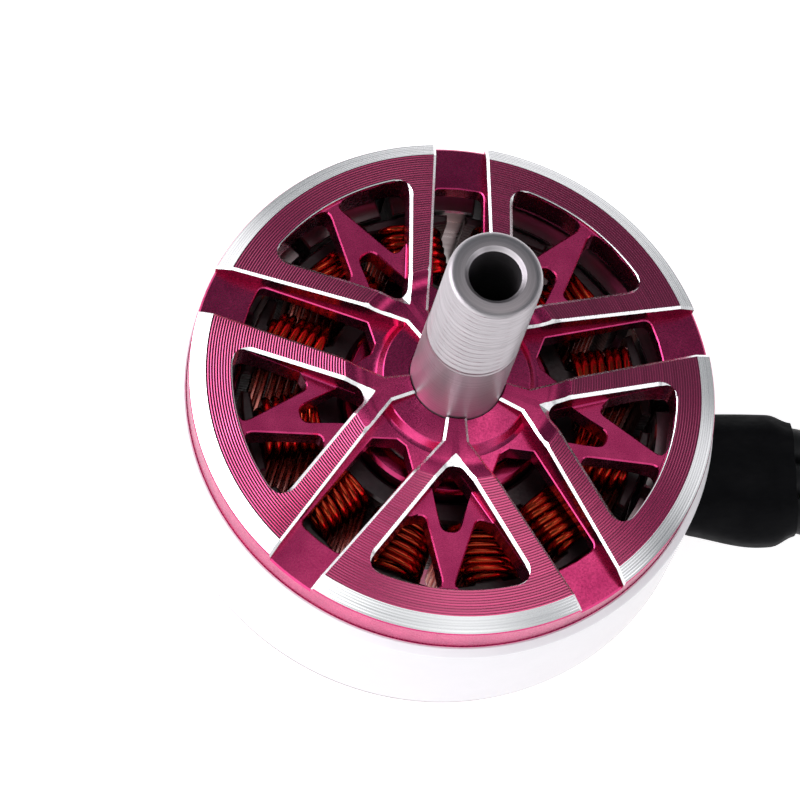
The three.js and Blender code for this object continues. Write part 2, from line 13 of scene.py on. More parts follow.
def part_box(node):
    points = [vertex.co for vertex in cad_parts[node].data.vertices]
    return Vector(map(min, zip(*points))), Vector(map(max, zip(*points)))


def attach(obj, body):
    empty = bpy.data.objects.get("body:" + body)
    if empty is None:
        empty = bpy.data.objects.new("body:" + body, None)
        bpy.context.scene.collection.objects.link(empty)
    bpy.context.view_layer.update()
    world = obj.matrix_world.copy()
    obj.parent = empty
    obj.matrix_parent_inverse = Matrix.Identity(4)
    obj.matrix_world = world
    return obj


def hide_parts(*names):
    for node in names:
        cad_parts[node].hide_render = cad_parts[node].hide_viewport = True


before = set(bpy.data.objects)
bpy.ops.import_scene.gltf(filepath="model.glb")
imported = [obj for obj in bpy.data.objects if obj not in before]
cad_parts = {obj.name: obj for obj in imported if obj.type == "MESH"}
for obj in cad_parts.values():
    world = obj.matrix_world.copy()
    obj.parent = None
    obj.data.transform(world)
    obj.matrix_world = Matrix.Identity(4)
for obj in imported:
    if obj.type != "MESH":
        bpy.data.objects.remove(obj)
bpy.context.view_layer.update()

MM = 0.001
scene = bpy.context.scene


def extent(node):
    """A CAD node's lowest and highest corners, in millimetres."""
    low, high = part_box(node)
    return low / MM, high / MM


def fractions(steps):
    """Evenly spaced numbers from 0 to 1."""
    return [i / steps for i in range(steps + 1)]


def circle(count):
    """The angles of so many points round a circle."""
    return [2 * math.pi * i / count for i in range(count)]


# ---- sizes, from the frame and in line with the CAD design -------------------
RING_LOW, RING_HIGH = extent("flux_ring")
SHAFT_LOW, SHAFT_HIGH = extent("shaft")
TUBE_TOP = extent("mount_base")[1].z

# the cap: heights, radii and the turned grooves
PETALS = 5
HALF_PETAL = math.pi / PETALS
CHANNEL_ANGLE = 14.3  # the first channel, degrees from +X
RIM_TOP = 16.0
RIM_R = 14.0
CONE_R = 13.18  # where the grooved cone meets the bright outer chamfer
CHAMFER_DROP = 0.55
SEAT_R = 6.0  # inner edge of the grooved cone
SEAT_DIP = 0.06  # the hollow turned between the cone and the hub
HUB_R = 4.8  # the hub's flat face
CONE_RISE = 1.27
HUB_TOP = 17.1
WEB_TOP = RIM_TOP
PLATE_UNDER = 14.75
RING_TOP = 13.44
WALL_IN = 12.3
GROOVE = 0.141  # pitch of the turned grooves
GROOVE_DEPTH = 0.0155
CHAMFER_GROOVE_DEPTH = GROOVE_DEPTH / 4
TURN_STEPS = 240  # sides of the large turned parts

# bright-cut edges: the bevels' widths, their slope and how far their cutters reach
WINDOW_EDGE = 0.17
ARC_EDGE = 0.05  # along the windows' outer arc
CHANNEL_EDGE = 0.14
SLOT_EDGE = 0.06
WEB_EDGE = 0.07
EDGE_SLOPE = 0.85
EDGE_OVER = 1.5  # a bevel's cutter runs on past the surface by half its width

# the channels between the petals
CHANNEL_HALF_RIM = 1.36
CHANNEL_HALF_HUB = 1.68
CHANNEL_BEND = 3.5
CHANNEL_END = [1.9, 0.78]  # along and half width at the shaft
FLOOR_RIM = 15.0
FLOOR_HUB = 16.15
HUB_STEP = 3.92  # radius of the step in the channels' floor
HUB_RAMP = 0.36
HUB_SLOPE = [16.75, 16.55]  # height at the shaft and at the step
SLOT_OUTER = 11.5
SLOT_HALF = 1.35

# the petals' windows
WINDOW_SIDE = 2.77  # from the next channel's centre line
WINDOW_R = 11.8
WINDOW_CORNER = 0.75
WINDOW_APEX = 0.65
FOOT = 0.12  # radius of the cove at the foot of the windows' walls
HOLE_GAP = 0.02  # from the web's holes to the windows' walls

SHAFT_R = 2.5
SHAFT_GAP = 0.06
JOURNAL_R = 2.0
JOURNAL_GAP = 0.12
BORE_R = 1.37
THREAD_START = 22.4
THREAD_PITCH = 0.5
THREAD_DEPTH = 0.11
THREAD_INSET = 0.03  # the crests stand back from the plain shaft below them

TEETH = 12
STATOR_ANGLE = 10.2  # the first tooth, degrees from +X
STACK = [6.1, 13.1]
STATOR_R = 11.0
YOKE_R = 6.85
TOOTH_HALF = 0.8
TUBE_R = 5.6
COIL_FIRST = 7.26  # radius of the first turn's middle
COIL_PITCH = 0.466
COIL_TURNS = 7
ENAMEL_R = 0.225

WIRE_R = 1.0
REST_Z = 1.01  # height of a lead lying on the surface
WIRE_PITCH = 2.05
WIRE_LENGTH = 130
WIRE_START = 9.6
WIRE_Z = 3.4
SLEEVE = [14.2, 20.7]
DROP_START = 19.9  # where the leads begin to sink to the surface
BEND_START = 25
BEND_R = 8
COIL_R = 12
RAMP = [250, 325]  # where the coil's end climbs onto its start, degrees of winding

# ---- camera: millimetres and degrees -----------------------------------------
LOOK_AT = Vector((-2.963, -1.148, 16.0))
CAMERA_DISTANCE = 281.62
CAMERA_AZIMUTH = -110.16
CAMERA_ELEVATION = 65.75
CAMERA_ROLL = 19.89
LENS = 242.0


def direction(azimuth, elevation):
    a, e = math.radians(azimuth), math.radians(elevation)
    return Vector((math.cos(e) * math.cos(a), math.cos(e) * math.sin(a), math.sin(e)))


def add_camera():
    data = bpy.data.cameras.new("camera")
    data.lens = LENS
    data.clip_start = 0.01
    camera = bpy.data.objects.new("camera", data)
    back = direction(CAMERA_AZIMUTH, CAMERA_ELEVATION)
    camera.location = (LOOK_AT + back * CAMERA_DISTANCE) * MM
    camera.rotation_mode = "QUATERNION"
    roll = Quaternion((0, 0, 1), math.radians(CAMERA_ROLL))
    camera.rotation_quaternion = back.to_track_quat("Z", "Y") @ roll
    scene.collection.objects.link(camera)
    scene.camera = camera


add_camera()


# ---- materials ---------------------------------------------------------------
class Nodes:
    """Short ways to add nodes to a tree."""

    def __init__(self, tree):
        self.tree = tree

    def set(self, node, **values):
        for name, value in values.items():
            node.inputs[name].default_value = value

    def node(self, kind, **properties):
        node = self.tree.nodes.new(kind)
        for name, value in properties.items():
            setattr(node, name, value)
        return node

    def link(self, output, socket):
        self.tree.links.new(output, socket)

    def spread(self, value, low, high, start=0.3, end=0.7, curve="LINEAR"):
        """Numbers from low to high where the value goes from start to end."""
        spread = self.node("ShaderNodeMapRange", interpolation_type=curve)
        self.link(value, spread.inputs["Value"])
        self.set(spread, **{"From Min": start, "From Max": end, "To Min": low, "To Max": high})
        return spread.outputs["Result"]


class Finish(Nodes):
    """A material with one Principled shader, and the patterns that vary it."""

    def __init__(self, name, color, metallic, roughness, **sockets):
        self.material = bpy.data.materials.new(name)
        self.material.use_nodes = True
        super().__init__(self.material.node_tree)
        self.shader = self.tree.nodes["Principled BSDF"]
        self.set(self.shader, **{"Base Color": (*color, 1), "Metallic": metallic, "Roughness": roughness})
        self.set(self.shader, **sockets)

    def place(self, scale=(1, 1, 1)):
        """Object coordinates in millimetres, stretched by scale."""
        coordinates = self.node("ShaderNodeTexCoord")
        mapping = self.node("ShaderNodeMapping")
        mapping.inputs["Scale"].default_value = [s / MM for s in scale]
        self.link(coordinates.outputs["Object"], mapping.inputs["Vector"])
        return mapping.outputs["Vector"]

    def noise(self, scale, stretch=(1, 1, 1)):
        """Noise with about scale lumps to a millimetre."""
        noise = self.node("ShaderNodeTexNoise")
        self.set(noise, Scale=scale, Detail=4.0)
        self.link(self.place(stretch), noise.inputs["Vector"])
        return noise.outputs["Fac"]

    def turning(self, scale):
        """Noise along the radius and the height only, as a lathe tool leaves it."""
        separate = self.node("ShaderNodeSeparateXYZ")
        self.link(self.place(), separate.inputs["Vector"])
        flat = self.node("ShaderNodeCombineXYZ")
        self.link(separate.outputs["X"], flat.inputs["X"])
        self.link(separate.outputs["Y"], flat.inputs["Y"])
        radius = self.node("ShaderNodeVectorMath", operation="LENGTH")
        self.link(flat.outputs["Vector"], radius.inputs[0])
        lines = self.node("ShaderNodeCombineXYZ")
        self.link(radius.outputs["Value"], lines.inputs["X"])
        self.link(separate.outputs["Z"], lines.inputs["Z"])
        noise = self.node("ShaderNodeTexNoise")
        self.set(noise, Scale=scale, Detail=3.0)
        self.link(lines.outputs["Vector"], noise.inputs["Vector"])
        return noise.outputs["Fac"]

    def roughness(self, value, low, high):
        self.link(self.spread(value, low, high), self.shader.inputs["Roughness"])

    def color(self, value, dark, light):
        ramp = self.node("ShaderNodeValToRGB")
        ramp.color_ramp.elements[0].color = (*dark, 1)
        ramp.color_ramp.elements[1].color = (*light, 1)
        self.link(self.spread(value, 0, 1), ramp.inputs["Fac"])
        self.link(ramp.outputs["Color"], self.shader.inputs["Base Color"])

    def bump(self, value, height):
        """Bumps of this height in millimetres."""
        bump = self.node("ShaderNodeBump")
        self.set(bump, Strength=1.0, Distance=height * MM)
        self.link(value, bump.inputs["Height"])
        self.link(bump.outputs["Normal"], self.shader.inputs["Normal"])


def varied(name, color, metallic, roughness, tints, gloss, bumps=None, lathe=False, **sockets):
    """A finish whose colour, roughness and bumps vary with noise, or with a lathe's lines.

    tints and gloss are a pattern's scale and its two ends, and bumps is its scale and its height."""
    finish = Finish(name, color, metallic, roughness, **sockets)
    pattern = finish.turning if lathe else finish.noise
    finish.color(pattern(tints[0]), *tints[1:])
    finish.roughness(pattern(gloss[0]), *gloss[1:])
    if bumps:
        finish.bump(pattern(bumps[0]), bumps[1])
    return finish.material


def coat(weight, roughness, **sockets):
    return {"Coat Weight": weight, "Coat Roughness": roughness, **sockets}


def white_coat(name, white):
    def shade(step):
        return white + step, white + step - 0.02, white + step + 0.01

    tints = (0.6, shade(-0.01), shade(0.01))
    return varied(name, shade(0), 0.0, 0.32, tints, (5.0, 0.28, 0.36), (8.0, 0.0008), **coat(0.6, 0.12))


def bare_steel(name, color, low=0.22, high=0.42, lines=8.0):
    dark = [c * 0.82 for c in color]
    light = [min(1.0, c * 1.1) for c in color]
    return varied(name, color, 1.0, 0.3, (lines, dark, light), (lines * 1.7, low, high), lathe=True)


def heat_shrink():
    """Shrunk film, its bumps drawn out along the leads."""
    finish = Finish("heat_shrink", (0.003, 0.003, 0.004), 0.0, 0.65, **{"Specular IOR Level": 0.12})
    finish.color(finish.noise(0.8), (0.002, 0.002, 0.003), (0.005, 0.005, 0.006))
    finish.roughness(finish.noise(3.0, stretch=(0.4, 1, 1)), 0.5, 0.7)
    finish.bump(finish.noise(1.6, stretch=(0.5, 1, 1)), 0.03)
    return finish.material


TURNED, SATIN, BRIGHT = 0, 1, 2  # the cap's materials, as its profiles and cutters name them
cap_finish = [
    varied("turned_anodised", (0.60, 0.05, 0.20), 1.0, 0.22, (3.0, (0.52, 0.012, 0.135), (0.72, 0.035, 0.2)),
           (9.0, 0.15, 0.28), lathe=True, **coat(1.0, 0.14, **{"Coat IOR": 1.78})),
    varied("satin_anodised", (0.56, 0.05, 0.175), 1.0, 0.26, (0.7, (0.48, 0.036, 0.145), (0.64, 0.06, 0.2)),
           (9.0, 0.2, 0.33), (20.0, 0.0015)),
    varied("bright_cut", (0.93, 0.92, 0.93), 1.0, 0.22, (6.0, (0.80, 0.79, 0.81), (0.97, 0.97, 0.97)),
           (10.0, 0.16, 0.34), lathe=True),
]
STEEL = bare_steel("ground_steel", (0.56, 0.57, 0.59))
SHAFT_FINISH = [
    bare_steel("shaft_ground", (0.60, 0.57, 0.60), 0.42, 0.52),
    bare_steel("shaft_thread", (0.47, 0.44, 0.46), 0.34, 0.46),
]
# dark steel: the screw's own finish, and on the flux ring's foot band a dark that is painted shade
DARK_STEEL_AND_SHADE = bare_steel("dark_steel_and_shade", (0.12, 0.12, 0.125), 0.3, 0.5)
NICKEL = bare_steel("nickel", (0.55, 0.54, 0.53), 0.25, 0.4, 2.0)
WHITE = white_coat("white_coat", 0.67)
# a lighter copy of the white coat: painted light on the ring's top bevel that lifts the grey shade falling
# there
WHITE_PAINTED_LIGHT = white_coat("white_coat_painted_light", 0.85)
ENAMEL = varied("enamelled_copper", (0.40, 0.045, 0.01), 1.0, 0.24,
                (0.8, (0.30, 0.019, 0.005), (0.56, 0.062, 0.012)), (4.0, 0.16, 0.3), **coat(0.25, 0.06))
STATOR_COAT = varied("stator_coat", (0.014, 0.017, 0.012), 0.0, 0.38,
                     (1.2, (0.011, 0.009, 0.008), (0.034, 0.019, 0.02)), (6.0, 0.3, 0.5), (5.0, 0.02),
                     **coat(0.3, 0.25))
SILICONE = varied("silicone", (0.006, 0.006, 0.007), 0.0, 0.6,
                  (0.9, (0.004, 0.004, 0.005), (0.009, 0.009, 0.010)), (6.0, 0.45, 0.65), (7.0, 0.008),
                  **{"Specular IOR Level": 0.25})
SHRINK = heat_shrink()
TIN = varied("tinned_strand", (0.72, 0.72, 0.71), 1.0, 0.32,
             (2.0, (0.58, 0.57, 0.55), (0.80, 0.80, 0.79)), (5.0, 0.25, 0.45), (4.0, 0.02))
BRASS = varied("cage_brass", (0.62, 0.46, 0.2), 1.0, 0.35,
               (1.5, (0.52, 0.37, 0.15), (0.68, 0.52, 0.25)), (6.0, 0.28, 0.46))
BASE_FINISH = varied("base_anodised", (0.34, 0.03, 0.10), 1.0, 0.2,
                     (3.0, (0.28, 0.022, 0.08), (0.40, 0.038, 0.125)), (8.0, 0.14, 0.26), lathe=True)


# ---- meshes ------------------------------------------------------------------
def solid(vertices, faces, sides=None, finish=()):
    """A closed mesh in millimetres, its faces pointing out. sides gives each face's material."""
    mesh = bpy.data.meshes.new("solid")
    mesh.from_pydata(vertices, [], faces)
    for material in finish:
        mesh.materials.append(material)
    if sides is not None:
        mesh.polygons.foreach_set("material_index", sides)
    mesh.update()
    if volume(mesh) < 0:
        mesh.flip_normals()
    return mesh


def volume(mesh):
    """The mesh's volume, below zero if its faces point in."""
    shape = bmesh.new()
    shape.from_mesh(mesh)
    size = shape.calc_volume(signed=True)
    shape.free()
    return size


def revolve(profile, segments=160, finish=()):
    """A closed ring. profile is a loop of (radius, height, material of the side that starts there)."""
    rings = [lift(ring_outline(0, radius, segments), height) for radius, height, _ in profile]
    return loft(rings, [side for _, _, side in profile], finish, closed=True)


def loft(sections, bands=None, finish=(), closed=False, caps=(0, 0)):
    """A closed solid through sections of equally many points, with flat ends, or joined end to end."""
    count = len(sections[0])
    vertices = [point for section in sections for point in section]
    faces, sides = [], []
    last = len(sections) if closed else len(sections) - 1
    for i in range(last):
        a, b = i * count, (i + 1) % len(sections) * count
        for j in range(count):
            k = (j + 1) % count
            faces.append((a + j, a + k, b + k, b + j))
            sides.append(bands[i] if bands else 0)
    if not closed:
        faces += [tuple(range(count))[::-1], tuple(range(last * count, (last + 1) * count))]
        sides += list(caps)
    return solid(vertices, faces, sides, finish)


def rounded(corners, steps=5):
    """A loop through corners (x, y, radius), each rounded with a short curve."""
    points = []
    count = len(corners)
    for i, (x, y, radius) in enumerate(corners):
        corner = Vector((x, y))
        if radius == 0:
            points.append(corner)
            continue
        before = (Vector(corners[i - 1][:2]) - corner).normalized()
        after = (Vector(corners[(i + 1) % count][:2]) - corner).normalized()
        reach = radius / math.tan(before.angle(after) / 2)
        enter, leave = corner + before * reach, corner + after * reach
        for t in fractions(steps):
            points.append(enter * (1 - t) ** 2 + corner * (2 * t * (1 - t)) + leave * t ** 2)
    return points


def eased(corners, side=0, steps=3):
    """The same for a turned profile of one material."""
    return [(p.x, p.y, side) for p in rounded(corners, steps)]


def arc(center, radius, start, end, steps):
    """Points on an arc, from angle start to angle end in radians."""
    angles = [start + (end - start) * t for t in fractions(steps)]
    return [Vector((center[0] + radius * math.cos(a), center[1] + radius * math.sin(a))) for a in angles]


def ring_outline(center, radius, count):
    """A circle's points, the centre on the X axis."""
    return [Vector((center + radius * math.cos(a), radius * math.sin(a))) for a in circle(count)]


def grow(outline, distance):
    """Moves each point of an anticlockwise outline outwards."""
    grown = []
    for i, point in enumerate(outline):
        before = (point - outline[i - 1]).normalized()
        after = (outline[(i + 1) % len(outline)] - point).normalized()
        normal = Vector((before.y + after.y, -before.x - after.x))
        grown.append(point + normal * (2 * distance / normal.length_squared))
    return grown


def lift(outline, height):
    """The outline as points in space, at one height or at a height that depends on the radius."""
    if callable(height):
        return [(p.x, p.y, height(p.length)) for p in outline]
    return [(p.x, p.y, height) for p in outline]


def place(mesh, angle=0.0, offset=(0, 0, 0)):
    mesh.transform(Matrix.Translation(offset) @ Matrix.Rotation(angle, 4, "Z"))
    return mesh


def link(data):
    """An object of the data's name, in the scene."""
    thing = bpy.data.objects.new(data.name, data)
    scene.collection.objects.link(thing)
    return thing


def combine(mesh, operation, *others):
    """The union, difference or intersection of closed meshes, one after another."""
    for other in others:
        whole, tool = link(mesh), link(other)
        modifier = whole.modifiers.new("combine", "BOOLEAN")
        modifier.solver = "MANIFOLD"
        modifier.operation = operation
        modifier.object = tool
        graph = bpy.context.evaluated_depsgraph_get()
        mesh = bpy.data.meshes.new_from_object(whole.evaluated_get(graph))
        bpy.data.objects.remove(whole)
        bpy.data.objects.remove(tool)
    return mesh


def copies(mesh, count, start=0.0):
    """Copies of a mesh round the axis, as one mesh."""
    corners, faces, sides = [], [], []
    for angle in circle(count):
        matrix = Matrix.Rotation(start + angle, 4, "Z")
        base = len(corners)
        corners += [matrix @ v.co for v in mesh.vertices]
        faces += [[base + v for v in polygon.vertices] for polygon in mesh.polygons]
        sides += [polygon.material_index for polygon in mesh.polygons]
    return solid(corners, faces, sides, mesh.materials)


def piece(name, mesh, body, slot, *nodes, finish=None, sharp=28):
    """Turns a mesh in millimetres into a piece that rides on a body and stands for CAD nodes.

    Edges that turn by more than sharp degrees aren't smoothed."""
    if finish is not None:
        mesh.materials.clear()
        mesh.materials.append(finish)
    mesh.transform(Matrix.Scale(MM, 4))
    mesh.shade_smooth()
    mesh.set_sharp_from_angle(angle=math.radians(sharp))
    mesh.name = name
    thing = link(mesh)
    stand_in(thing, body, slot, *nodes)
    return thing


def stand_in(thing, body, slot, *nodes):
    """Lets a piece ride on a body, in place of CAD nodes. The slot is not used."""
    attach(thing, body)
    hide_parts(*nodes)


def strand(name, points, radius, body, slot, *nodes, finish, kind, sides):
    """A round wire along points, as a curve of one open spline."""
    curve = bpy.data.curves.new(name, "CURVE")
    curve.dimensions = "3D"
    curve.bevel_depth = radius * MM
    curve.bevel_resolution = sides
    curve.resolution_u = 4
    curve.use_fill_caps = True
    spline = curve.splines.new(kind)
    if kind == "BEZIER":
        spline.bezier_points.add(len(points) - 1)
        for knot, point in zip(spline.bezier_points, points):
            knot.co = Vector(point) * MM
            knot.handle_left_type = knot.handle_right_type = "AUTO"
    else:
        spline.points.add(len(points) - 1)
        for knot, point in zip(spline.points, points):
            knot.co = (*(Vector(point) * MM), 1)
    curve.materials.append(finish)
    thing = link(curve)
    stand_in(thing, body, slot, *nodes)
    return thing


# ---- phase leads -------------------------------------------------------------
def smooth(t):
    """Goes from 0 to 1 with t, without a kink at either end."""
    t = min(max(t, 0.0), 1.0)
    return t * t * (3 - 2 * t)


# the bend and the coil are two arcs that meet: the coil's centre is at (coil_x, 0)
coil_x = BEND_START + math.sqrt((COIL_R + BEND_R) ** 2 - BEND_R ** 2)
bend_turn = math.acos(BEND_R / (COIL_R + BEND_R))
coil_entry = 1.5 * math.pi - bend_turn


def winding_angle(k):
    """The coil's angle at which lead k, offset by k pitches, has used up its length."""
    bend = (BEND_R + WIRE_PITCH * k) * bend_turn
    left = WIRE_LENGTH - (BEND_START - WIRE_START) - bend
    return left / (COIL_R - WIRE_PITCH * k)


def coil_point(k, winding):
    """Lead k's place in the coil, after so much winding."""
    ramp = (math.degrees(winding) - RAMP[0]) / (RAMP[1] - RAMP[0])
    radius = COIL_R - WIRE_PITCH * k
    angle = coil_entry + winding
    height = REST_Z + WIRE_PITCH * smooth(ramp)
    return (coil_x + radius * math.cos(angle), radius * math.sin(angle), height)


def lead_route(k):
    """Out through the sleeve, down to the surface, round a bend and into the coil."""
    points = []
    for x in (WIRE_START, 12, SLEEVE[0], 17, DROP_START, 21, 22, 23, 24, BEND_START):
        fall = smooth((x - DROP_START) / (BEND_START - DROP_START))
        points.append((x, WIRE_PITCH * k, WIRE_Z + (REST_Z - WIRE_Z) * fall))
    radius = BEND_R + WIRE_PITCH * k
    for t in fractions(8)[1:]:
        angle = bend_turn * t
        points.append((BEND_START + radius * math.sin(angle), -BEND_R + radius * math.cos(angle), REST_Z))
    end = winding_angle(k)
    points += [coil_point(k, end * t) for t in fractions(math.ceil(math.degrees(end) / 12))[1:]]
    return points


def tip(k):
    """The lead's tinned end: seven strands twisted together."""
    end = winding_angle(k)
    x, y, z = coil_point(k, end)
    heading = coil_entry + end + math.pi / 2
    length, lobes, around, stations = 3.0, 7, 56, 40
    core, strand_height, twist = 0.4, 0.1, 2.4
    blunt, close = 0.9, 1.002  # where the end starts to round off, and where it would close
    sections = []
    for s in fractions(stations):
        taper = math.sqrt(max(0.0, 1 - max(0.0, (s - blunt) / (close - blunt)) ** 2))
        ring = []
        for angle in circle(around):
            lobe = abs(math.cos(lobes / 2 * (angle - twist * s)))
            radius = (core + strand_height * lobe) * taper
            ring.append(((s - 0.05) * length, radius * math.cos(angle), radius * math.sin(angle)))
        sections.append(ring)
    return place(loft(sections), heading, (x, y, z))


def sleeve():
    """Heat-shrink drawn down over the three leads, so that it shows them as soft ribs."""
    wall, around, stations = 0.32, 96, 30
    half_width, half_height, rib_height, side_power, top_power = 3.3, 1.3, 0.085, 0.62, 0.66
    swell, wave_height = 1.1, 0.04
    start, end = SLEEVE
    outer, inner = [], []
    for s in fractions(stations):
        x = start + (end - start) * s
        mouth = 0.12 * (smooth((s - 0.8) / 0.2) + smooth((0.08 - s) / 0.08))
        wave = wave_height * math.sin(4.2 * s - 1.2)
        skin, bore = [], []
        for angle in circle(around):
            c, d = math.cos(angle), math.sin(angle)
            y = half_width * math.copysign(abs(c) ** side_power, c)
            rib = rib_height * math.cos(2 * math.pi * y / WIRE_PITCH) + wave * math.sin(3 * angle + 7 * s)
            z = (half_height + rib - mouth) * math.copysign(abs(d) ** top_power, d)
            y *= swell - mouth + wave * (1.6 - 1.2 * c)
            skin.append((x, y, WIRE_Z + z))
            shrink = 1 - wall / max(math.hypot(y, z), 1e-6)
            bore.append((x, y * (1 - wall / (half_width + 0.1)), WIRE_Z + z * shrink))
        outer.append(skin)
        inner.append(bore)
    return loft(outer + inner[::-1], closed=True)


sleeve_piece = piece("wire_sleeve_shrink", sleeve(), "stator", "sleeve_shrink", "wire_sleeve", finish=SHRINK)
for letter, k in (("a", -1), ("b", 0), ("c", 1)):
    tip_piece = piece(
        f"wire_tip_{letter}_strands", tip(k), "stator", "lead_tin", f"wire_tip_{letter}", finish=TIN
    )
    nodes = [f"wire_{letter}"] + (["wire_coil"] if letter == "b" else [])
    lead = strand(
        f"wire_{letter}_lead", lead_route(k), WIRE_R, "stator", "lead_silicone", *nodes,
        finish=SILICONE, kind="BEZIER", sides=5,
    )


# ---- bell cap ----------------------------------------------------------------
def cone_height(radius):
    """Height of the cap's top surface, without its grooves."""
    if radius > CONE_R:
        return RIM_TOP - CHAMFER_DROP * (radius - CONE_R) / (RIM_R - CONE_R)
    if radius > SEAT_R:
        return RIM_TOP + CONE_RISE * (CONE_R - radius) / (CONE_R - SEAT_R)
    t = min(1.0, (SEAT_R - radius) / (SEAT_R - HUB_R))
    step = RIM_TOP + CONE_RISE - HUB_TOP
    return HUB_TOP + step * (1 - t) ** 2 - SEAT_DIP * math.sin(math.pi * t)


def floor_height(radius):
    """Height of a channel's floor."""
    return FLOOR_HUB + (FLOOR_RIM - FLOOR_HUB) * (radius - HUB_STEP) / (RIM_R - HUB_STEP)


def grooves(start, end, height, side, depth):
    """Turned grooves with flat lands between two radii, as the points of a profile."""
    count = round(abs(start - end) / GROOVE)
    points = []
    for i in range(count):
        for part, sink in ((0, 0), (0.5, 0), (0.75, depth)):
            radius = start + (end - start) * (i + part) / count
            points.append((radius, height(radius) - sink, side))
    return points


def cap_blank():
    """The cap as the lathe leaves it."""
    bore, neck, shoulder = SHAFT_R + SHAFT_GAP, JOURNAL_R + JOURNAL_GAP, RIM_TOP - 0.3
    bottom = [
        (neck, 14.4, 0),
        (4.2, 14.4, 0.08),
        (4.6, PLATE_UNDER, 0.1),
        (9.9, PLATE_UNDER, 0.5),
        (11.7, 14.25, 0.3),
        (WALL_IN, 14.0, 0.2),
        (WALL_IN, 12.94, 0.05),
        (12.9, 12.94, 0.1),
        (12.9, RING_TOP, 0),
        (13.93, RING_TOP, 0.05),
        (RIM_R, RING_TOP + 0.12, 0.05),
    ]
    profile = eased(bottom, SATIN)
    profile += [(RIM_R, cone_height(RIM_R) - 0.06, SATIN)]
    profile += grooves(RIM_R - 0.04, CONE_R, cone_height, BRIGHT, CHAMFER_GROOVE_DEPTH)
    profile += grooves(CONE_R, SEAT_R, cone_height, TURNED, GROOVE_DEPTH)
    for t in fractions(12):
        radius = SEAT_R + (HUB_R - SEAT_R) * t
        profile.append((radius, cone_height(radius), SATIN))
    profile += [(bore + 0.05, HUB_TOP, SATIN), (bore, HUB_TOP - 0.05, SATIN)]
    profile += [(bore, shoulder, SATIN), (neck, shoulder, SATIN)]
    return revolve(profile, TURN_STEPS, cap_finish)


def from_channel(along, across):
    """A point given along and across a channel's centre line, in the petal's frame (X along the petal)."""
    x = along * math.cos(HALF_PETAL) + across * math.sin(HALF_PETAL)
    y = along * math.sin(HALF_PETAL) - across * math.cos(HALF_PETAL)
    return Vector((x, y))


def mirror(outline):
    """The outline's points on the other side of the X axis, in the other order."""
    return [Vector((p.x, -p.y)) for p in outline][::-1]


def window_outline(side_edge=0.0, arc_edge=0.0, pointed=False):
    """A petal's window, anticlockwise, its sides and its outer arc moved outwards by these distances.

    When pointed, its sides run on until they meet."""
    apex = (WINDOW_SIDE + WINDOW_APEX) / math.sin(HALF_PETAL)
    reach, across = WINDOW_R - WINDOW_CORNER, WINDOW_SIDE + WINDOW_CORNER
    center = from_channel(math.sqrt(reach ** 2 - across ** 2), across)
    end = math.atan2(center.y, center.x)
    normal = HALF_PETAL + math.pi / 2
    steps = 8
    corner = []
    for t in fractions(steps):
        edge = arc_edge + (side_edge - arc_edge) * t
        corner += arc(center, WINDOW_CORNER + edge, end + (normal - end) * t, normal, 1)[:1]
    tip = arc((apex, 0), WINDOW_APEX + side_edge, normal, math.pi, steps)
    if pointed:
        meeting = Vector(((WINDOW_SIDE - side_edge) / math.sin(HALF_PETAL), 0))
        tip = [tip[0].lerp(meeting, t) for t in fractions(steps)]
    side = [corner[-1].lerp(tip[0], t) for t in fractions(24)[1:-1]]
    half = arc((0, 0), WINDOW_R + arc_edge, 0, end, 12)[:-1] + corner + side + tip
    return half + mirror(half[1:-1])


def clearance(point, outline):
    """Distance from a point to an outline."""
    best = math.inf
    for a, b in zip(outline, outline[1:] + outline[:1]):
        t = max(0.0, min(1.0, (point - a).dot(b - a) / (b - a).length_squared))
        best = min(best, (point - a.lerp(b, t)).length)
    return best


def edge_cutter(outline, flared, low, height, side=BRIGHT):
    """A cutter with upright walls that also takes a bevel off the edge it leaves in a surface.

    The bevel starts from the outline, and meets the surface before it reaches the flared one."""
    inner, outer = [], []
    for p, q in zip(outline, flared):
        rise = EDGE_SLOPE * clearance(p, flared)
        inner.append((p.x, p.y, height(p.length) - rise / EDGE_OVER))
        outer.append((q.x, q.y, height(q.length) + rise * (1 - 1 / EDGE_OVER)))
    sections = [lift(outline, low), inner, outer, lift(flared, HUB_TOP + 2)]
    return loft(sections, [SATIN, side, side], cap_finish, caps=(SATIN, SATIN))


def window_cutters():
    """The window above its walls' foot, and the cove that joins the walls to the web."""
    flared = window_outline(EDGE_OVER * WINDOW_EDGE, EDGE_OVER * ARC_EDGE, pointed=True)
    cove = []
    for t in fractions(4):
        angle = math.pi / 2 * t
        inset = FOOT * (1 - math.sin(angle))
        cove.append(lift(window_outline(-inset, -inset), WEB_TOP + FOOT * (1 - math.cos(angle))))
    cove.append(lift(window_outline(), WEB_TOP + FOOT + 0.02))
    foot = loft(cove, [SATIN] * len(cove), cap_finish, caps=(SATIN, SATIN))
    return edge_cutter(window_outline(), flared, WEB_TOP + FOOT, cone_height), foot


